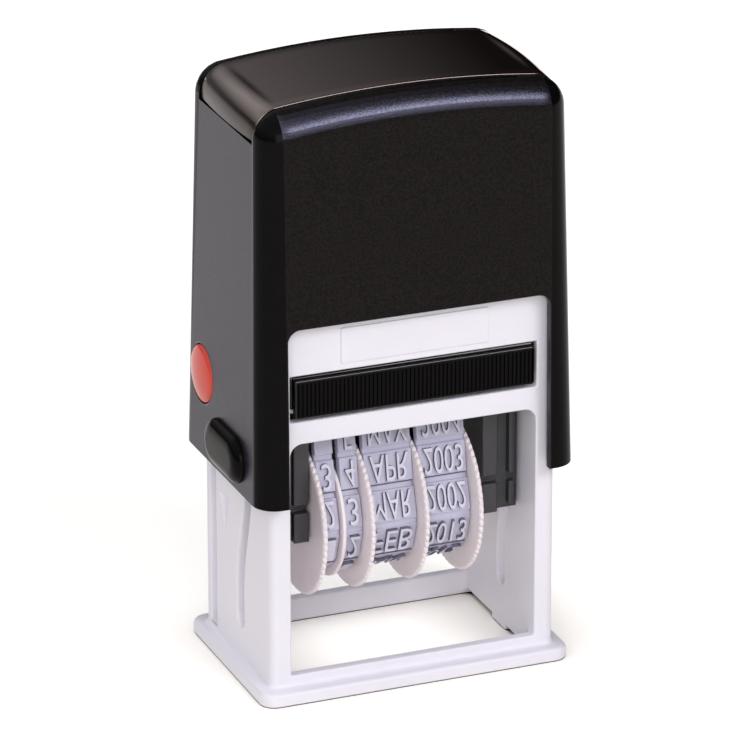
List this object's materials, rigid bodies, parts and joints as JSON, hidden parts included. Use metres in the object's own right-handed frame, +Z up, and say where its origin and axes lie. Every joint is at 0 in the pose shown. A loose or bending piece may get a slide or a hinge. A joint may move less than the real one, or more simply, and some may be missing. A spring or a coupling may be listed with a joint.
{
  "type": "self-inking date stamp",
  "caption": "Upright self-inking date stamp: drafted black housing sliding over a white frame, slide-out pad cassette, turning date unit with thumb wheels, side lock buttons.",
  "frame": {"origin": "centre of the foot flange's underside, on the surface the stamp stands on", "axes": "+Z up along the stroke, +X to the right of the side with the date window, -Y towards that side"},
  "size_m": [0.0564, 0.035, 0.0983],
  "materials": {
    "white_abs": "satin",
    "black_abs": "fine spark texture",
    "black_gloss": "gloss",
    "smoked_cap": "gloss smoked",
    "red_gloss": "gloss",
    "grey_abs": "satin",
    "white_nylon": "satin",
    "band_rubber": "matt moulded",
    "ink_felt": "inked felt",
    "spring_steel": "drawn wire"
  },
  "bodies": {
    "frame_body": {"frame": "white_abs", "return_spring": "spring_steel"},
    "housing_body": {"housing": "black_abs", "top_cap": "smoked_cap"},
    "cassette_body": {"pad_cassette": "black_gloss", "ink_pad": "ink_felt"},
    "left_button_body": {"left_lock_button": "red_gloss"},
    "right_button_body": {"right_lock_button": "red_gloss"},
    "pivot_body": {"left_pivot_pin": "spring_steel", "right_pivot_pin": "spring_steel"},
    "date_unit": {"left_cheek": "grey_abs", "right_cheek": "grey_abs", "head_plate": "grey_abs", "band_bridge": "grey_abs", "wheel_axle": "spring_steel", "day_divider": "white_nylon", "text_plate": "band_rubber", "day_tens_band": "band_rubber", "day_units_band": "band_rubber", "month_band": "band_rubber", "year_band": "band_rubber"},
    "day_tens_wheel_body": {"day_tens_wheel": "white_nylon"},
    "day_units_wheel_body": {"day_units_wheel": "white_nylon"},
    "month_wheel_body": {"month_wheel": "white_nylon"},
    "year_wheel_body": {"year_wheel": "white_nylon"}
  },
  "joints": [
    {"name": "housing_press", "type": "slide", "parent": "frame_body", "child": "housing_body", "axis": [0, 0, 1], "range_m": [-0.03, 0], "stiffness_N_per_m": 200, "springref_m": 0.02, "deforming": ["return_spring"]},
    {"name": "pad_slide", "type": "slide", "parent": "frame_body", "child": "cassette_body", "axis": [0, -1, 0], "range_m": [0, 0.026]},
    {"name": "left_button_press", "type": "slide", "parent": "housing_body", "child": "left_button_body", "axis": [1, 0, 0], "range_m": [0, 0.0007], "stiffness_N_per_m": 800, "springref_m": -0.0005},
    {"name": "right_button_press", "type": "slide", "parent": "housing_body", "child": "right_button_body", "axis": [-1, 0, 0], "range_m": [0, 0.0007], "stiffness_N_per_m": 800, "springref_m": -0.0005},
    {"name": "pivot_shift", "type": "slide", "parent": "housing_body", "child": "pivot_body", "axis": [0, 1, 0], "range_m": [-0.0001, 0.0037]},
    {"name": "unit_turn", "type": "hinge", "parent": "pivot_body", "child": "date_unit", "pos_m": [0, -0.0046, 0.039], "axis": [1, 0, 0], "range_deg": [-1, 181]},
    {"name": "day_tens_turn", "type": "hinge", "parent": "date_unit", "child": "day_tens_wheel_body", "pos_m": [0, -0.0018, 0.0258], "axis": [1, 0, 0], "continuous": true},
    {"name": "day_units_turn", "type": "hinge", "parent": "date_unit", "child": "day_units_wheel_body", "pos_m": [0, -0.0018, 0.0258], "axis": [1, 0, 0], "continuous": true},
    {"name": "month_turn", "type": "hinge", "parent": "date_unit", "child": "month_wheel_body", "pos_m": [0, -0.0018, 0.0258], "axis": [1, 0, 0], "continuous": true},
    {"name": "year_turn", "type": "hinge", "parent": "date_unit", "child": "year_wheel_body", "pos_m": [0, -0.0018, 0.0258], "axis": [1, 0, 0], "continuous": true}
  ],
  "couplings": [
    {"joint": "pivot_shift", "follows": "housing_press", "ratio": -0.12},
    {"joint": "unit_turn", "follows": "housing_press", "rad_per_m": -104.72}
  ]
}
